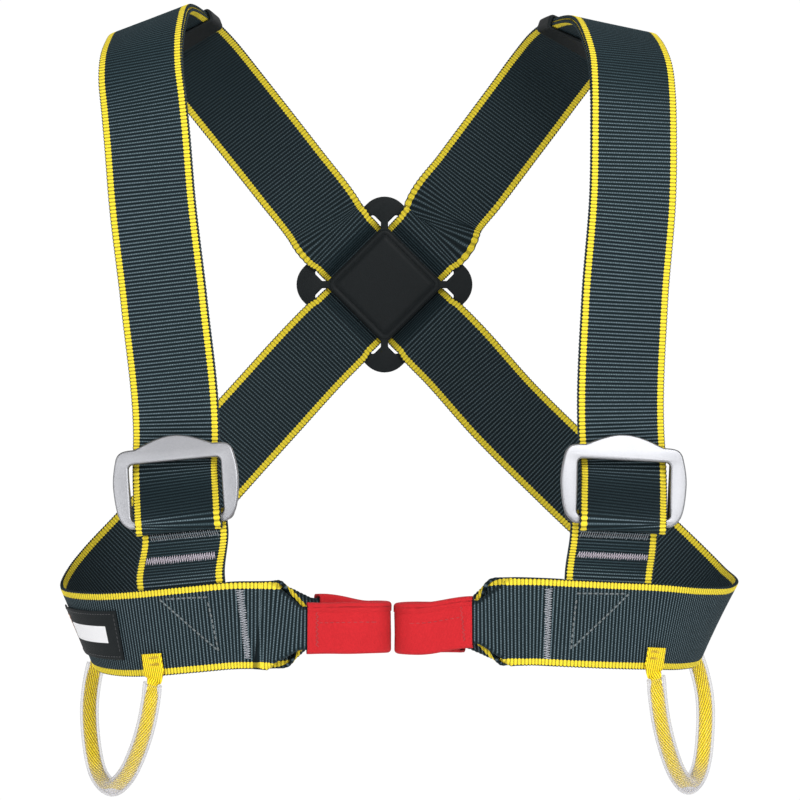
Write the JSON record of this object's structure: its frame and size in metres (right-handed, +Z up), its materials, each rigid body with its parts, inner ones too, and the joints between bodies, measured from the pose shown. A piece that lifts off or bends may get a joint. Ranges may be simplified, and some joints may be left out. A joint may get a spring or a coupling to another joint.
{
  "type": "climbing chest harness",
  "caption": "Adjustable webbing chest harness for climbing: shoulder straps crossed at a back plate, double-frame buckles, a chest band with sleeved tie-in loops, and gear loops",
  "frame": {"origin": "between the shoulders, at the height of the crowns that the two shoulder straps hang over", "axes": "+Z up, -Y the way that the wearer's chest faces, +X to the right of someone who looks at the chest"},
  "size_m": [0.3602, 0.1971, 0.4166],
  "materials": {
    "webbing": "ribbed woven webbing with yellow stripes along both edges",
    "red_fabric": "fine twill, stitched",
    "yellow_fabric": "narrow woven webbing",
    "label_fabric": "woven label with a plain border",
    "buckle_steel": "satin",
    "frame_steel": "dark coated steel",
    "moulded": "moulded, satin-matte",
    "clear_tube": "clear soft tube"
  },
  "bodies": {
    "root": {"webbing_left_band": "webbing", "webbing_right_band": "webbing", "stub_strap_left": "webbing", "stub_strap_right": "webbing", "buckle_outer_left": "buckle_steel", "buckle_outer_right": "buckle_steel", "buckle_inner_left": "frame_steel", "buckle_inner_right": "frame_steel", "back_plate": "moulded", "keeper_left": "moulded", "keeper_right": "moulded", "tie_in_sleeve_left": "red_fabric", "tie_in_sleeve_right": "red_fabric", "gear_webbing_left": "yellow_fabric", "gear_webbing_right": "yellow_fabric", "gear_tube_left": "clear_tube", "gear_tube_right": "clear_tube", "label_patch": "label_fabric"}
  },
  "joints": []
}
